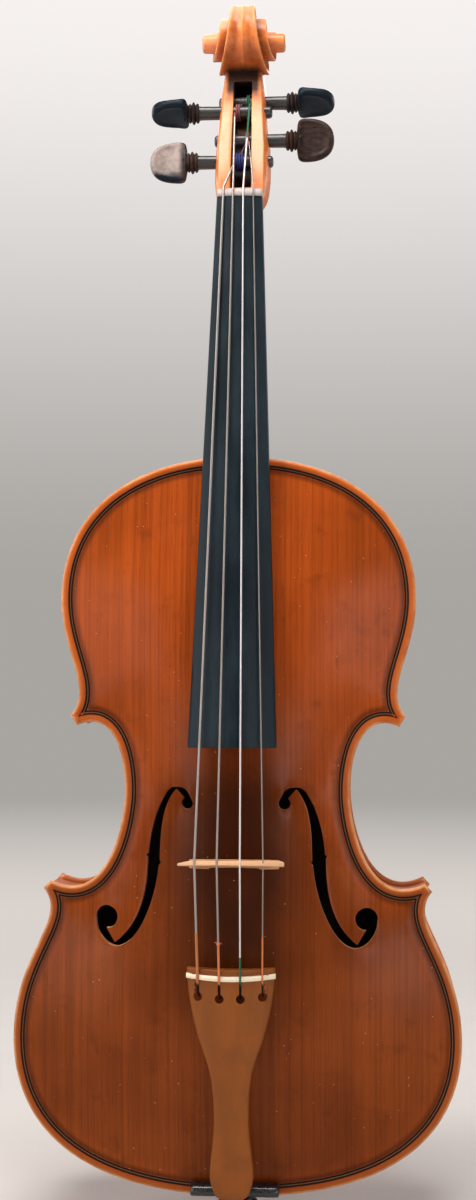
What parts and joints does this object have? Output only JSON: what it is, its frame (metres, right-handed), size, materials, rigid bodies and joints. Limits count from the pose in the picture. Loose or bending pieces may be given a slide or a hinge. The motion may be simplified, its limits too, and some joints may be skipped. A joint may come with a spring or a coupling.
{
  "type": "viola",
  "caption": "Bowed string instrument with an arched hollow wooden body, f-shaped sound holes, a carved scroll, strings and turning pegs.",
  "frame": {"origin": "centre of the end button's flat end face", "axes": "+X across the strings, towards the right of the picture; -Y out of the top plate, towards the strings; +Z from the end button to the scroll"},
  "size_m": [0.2468, 0.1121, 0.6851],
  "materials": {
    "spruce": "spruce with orange-brown oil varnish, satin",
    "maple": "flamed maple with orange-brown varnish, satin",
    "pale_wood": "bare pale wood",
    "bridge_maple": "bare maple, dry and slightly darkened",
    "ebony": "black hardwood with a dusty sheen",
    "rosewood": "dark polished rosewood, dusty in the hollows",
    "boxwood": "orange-brown boxwood, satin",
    "purfling": "dark inlaid strip with a paler middle",
    "bone": "grey-white bone",
    "white_strip": "off-white bone strip",
    "string_wire": "wound steel, silvery",
    "nylon_gut": "dark nylon cord",
    "silk": "coloured silk wrapping"
  },
  "bodies": {
    "body": {"top_plate": "spruce", "purfling_top_left": "purfling", "purfling_top_right": "purfling", "back_plate": "maple", "rib_lower_left": "maple", "rib_lower_right": "maple", "rib_middle_left": "maple", "rib_middle_right": "maple", "rib_upper_left": "maple", "rib_upper_right": "maple", "lining_top_lower_left": "pale_wood", "lining_top_lower_right": "pale_wood", "lining_top_middle_left": "pale_wood", "lining_top_middle_right": "pale_wood", "lining_top_upper_left": "pale_wood", "lining_top_upper_right": "pale_wood", "lining_back_lower_left": "pale_wood", "lining_back_lower_right": "pale_wood", "lining_back_middle_left": "pale_wood", "lining_back_middle_right": "pale_wood", "lining_back_upper_left": "pale_wood", "lining_back_upper_right": "pale_wood", "block_lower_left": "pale_wood", "block_lower_right": "pale_wood", "block_upper_left": "pale_wood", "block_upper_right": "pale_wood", "upper_block": "pale_wood", "lower_block": "pale_wood", "bass_bar": "pale_wood", "sound_post": "pale_wood", "neck_and_scroll": "maple", "fingerboard": "ebony", "nut": "bone", "bridge": "bridge_maple", "tailpiece": "boxwood", "tailpiece_fret": "white_strip", "saddle": "ebony", "end_button": "rosewood", "tailgut": "nylon_gut", "string_c": "string_wire", "string_g": "string_wire", "string_d": "string_wire", "string_a": "string_wire"},
    "c_peg": {"peg_c": "rosewood", "winding_c": "silk"},
    "g_peg": {"peg_g": "rosewood", "winding_g": "silk"},
    "d_peg": {"peg_d": "rosewood", "winding_d": "silk"},
    "a_peg": {"peg_a": "rosewood", "winding_a": "silk"}
  },
  "joints": [
    {"name": "tune_c", "type": "hinge", "parent": "body", "child": "c_peg", "pos_m": [0, 0, 0.5897], "axis": [1, 0, 0], "continuous": true},
    {"name": "tune_g", "type": "hinge", "parent": "body", "child": "g_peg", "pos_m": [0, 0.0065, 0.62], "axis": [1, 0, 0], "continuous": true},
    {"name": "tune_d", "type": "hinge", "parent": "body", "child": "d_peg", "pos_m": [0, 0.013, 0.6273], "axis": [1, 0, 0], "continuous": true},
    {"name": "tune_a", "type": "hinge", "parent": "body", "child": "a_peg", "pos_m": [0, 0.004, 0.6028], "axis": [1, 0, 0], "continuous": true}
  ]
}
